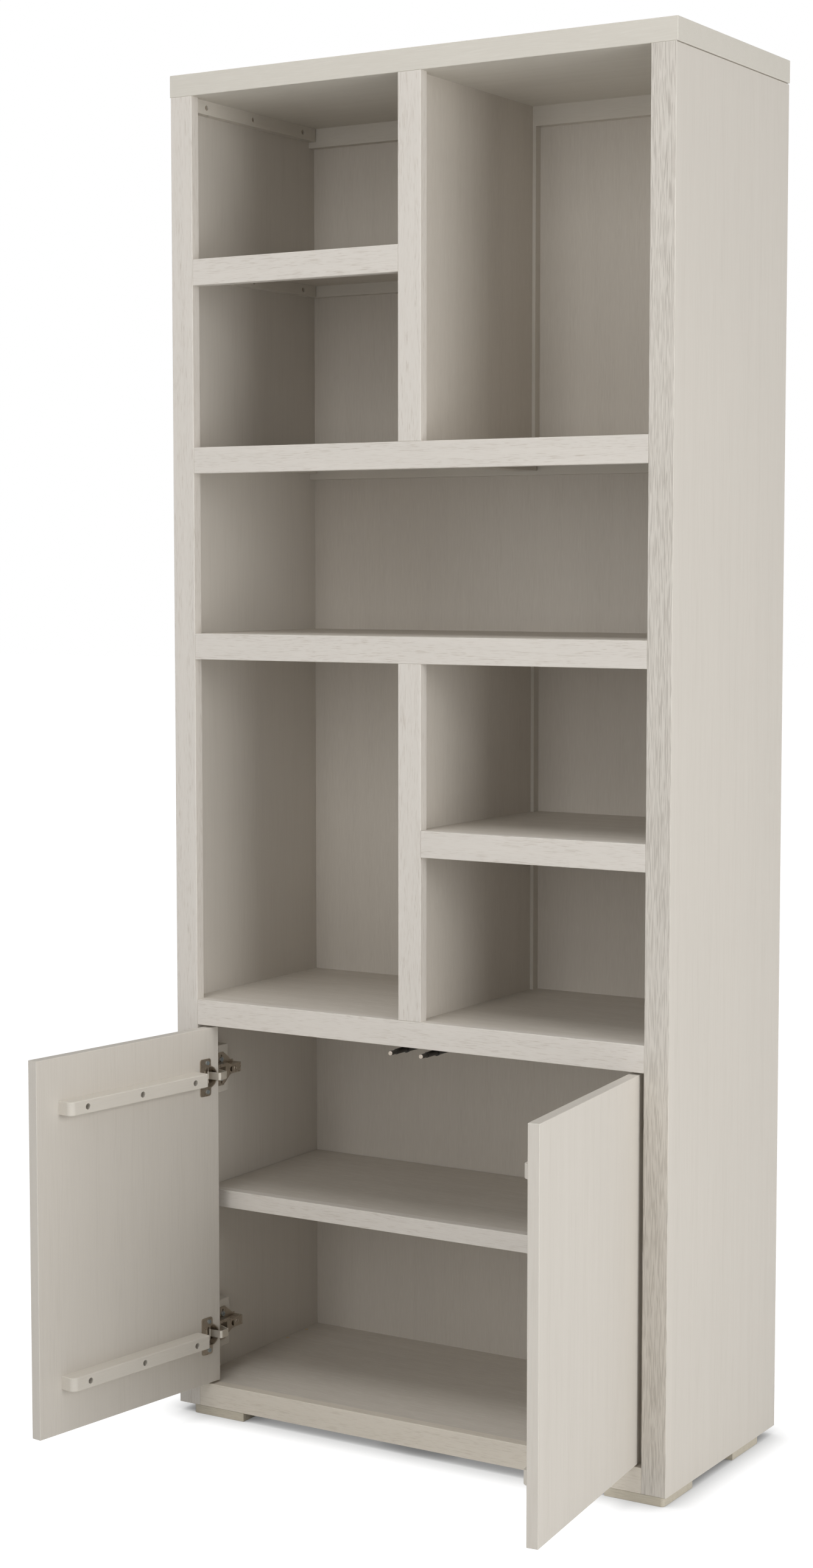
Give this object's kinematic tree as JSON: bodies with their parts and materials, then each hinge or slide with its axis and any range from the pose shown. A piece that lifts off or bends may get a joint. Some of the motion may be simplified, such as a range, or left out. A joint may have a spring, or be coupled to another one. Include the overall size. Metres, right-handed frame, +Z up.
{
  "type": "bookcase with cabinet doors",
  "caption": "Tall free-standing limed-wood bookcase with staggered open shelves over a two-door cabinet on concealed hinges with push latches.",
  "frame": {"origin": "on the floor, mid-width, at the middle of the whole outline from front to back with the doors open as posed, which is about 10 mm behind the front faces of the stiles", "axes": "+X to the right as seen from the front, +Y to the back, +Z up"},
  "size_m": [0.9058, 0.7865, 2.196],
  "materials": {
    "limed_wood": "limed, sanded smooth",
    "brushed_limed_wood": "limed over brushed open grain",
    "nickel_plate": "nickel plated pressed steel",
    "zinc_plate": "zinc plated",
    "black_plastic": "moulded, satin",
    "pale_plastic": "moulded, matt"
  },
  "bodies": {
    "carcass": {"side_panel_left": "limed_wood", "side_panel_right": "limed_wood", "back_panel": "limed_wood", "bottom_panel": "limed_wood", "base_bearers": "limed_wood", "upper_half_shelf_panel": "limed_wood", "upper_half_shelf_cleats": "limed_wood", "upper_full_shelf_panel": "limed_wood", "upper_full_shelf_cleats": "limed_wood", "middle_shelf_panel": "limed_wood", "middle_shelf_cleats": "limed_wood", "lower_half_shelf_panel": "limed_wood", "lower_half_shelf_cleats": "limed_wood", "cabinet_top_panel": "limed_wood", "cabinet_top_cleats": "limed_wood", "upper_divider_panel": "limed_wood", "upper_divider_post": "limed_wood", "lower_divider_panel": "limed_wood", "lower_divider_post": "limed_wood", "top_side_cleats": "limed_wood", "top_back_cleat": "limed_wood", "cabinet_shelf_panel": "limed_wood", "hinge_blocks": "limed_wood", "latch_block": "limed_wood", "front_stile_left": "brushed_limed_wood", "front_stile_right": "brushed_limed_wood", "top_board": "brushed_limed_wood", "bottom_rail": "brushed_limed_wood", "feet": "brushed_limed_wood", "upper_half_shelf_lipping": "brushed_limed_wood", "upper_full_shelf_lipping": "brushed_limed_wood", "middle_shelf_lipping": "brushed_limed_wood", "lower_half_shelf_lipping": "brushed_limed_wood", "cabinet_top_lipping": "brushed_limed_wood", "upper_divider_stile": "brushed_limed_wood", "lower_divider_stile": "brushed_limed_wood", "cabinet_shelf_lipping": "brushed_limed_wood", "hinge_plates": "nickel_plate", "hinge_arms": "nickel_plate", "hinge_links": "nickel_plate", "cleat_screws": "zinc_plate", "hinge_pins": "zinc_plate", "hinge_screws": "zinc_plate", "latch_screws": "zinc_plate", "shelf_pins": "zinc_plate", "latch_housings": "black_plastic"},
    "left_door": {"door_panel_left": "limed_wood", "door_battens_left": "limed_wood", "hinge_cups_left": "nickel_plate", "hinge_cup_pins_left": "zinc_plate", "door_screws_left": "zinc_plate"},
    "left_plunger": {"latch_plunger_left": "black_plastic", "latch_tip_left": "pale_plastic"},
    "right_door": {"door_panel_right": "limed_wood", "door_battens_right": "limed_wood", "hinge_cups_right": "nickel_plate", "hinge_cup_pins_right": "zinc_plate", "door_screws_right": "zinc_plate"},
    "right_plunger": {"latch_plunger_right": "black_plastic", "latch_tip_right": "pale_plastic"}
  },
  "joints": [
    {"name": "left_door_hinge", "type": "hinge", "parent": "carcass", "child": "left_door", "pos_m": [-0.393, -0.00275, 0.355], "axis": [0, 0, 1], "range_deg": [-7, 98]},
    {"name": "right_door_hinge", "type": "hinge", "parent": "carcass", "child": "right_door", "pos_m": [0.393, -0.00275, 0.355], "axis": [0, 0, -1], "range_deg": [-9, 96]},
    {"name": "left_plunger_slide", "type": "slide", "parent": "carcass", "child": "left_plunger", "axis": [0, 1, 0], "range_m": [-0.00224, 0.03121]},
    {"name": "right_plunger_slide", "type": "slide", "parent": "carcass", "child": "right_plunger", "axis": [0, 1, 0], "range_m": [-0.00294, 0.03121]}
  ],
  "couplings": [
    {"joint": "left_plunger_slide", "follows": "left_door_hinge", "m_per_rad": 0.018241},
    {"joint": "right_plunger_slide", "follows": "right_door_hinge", "m_per_rad": 0.018621}
  ]
}
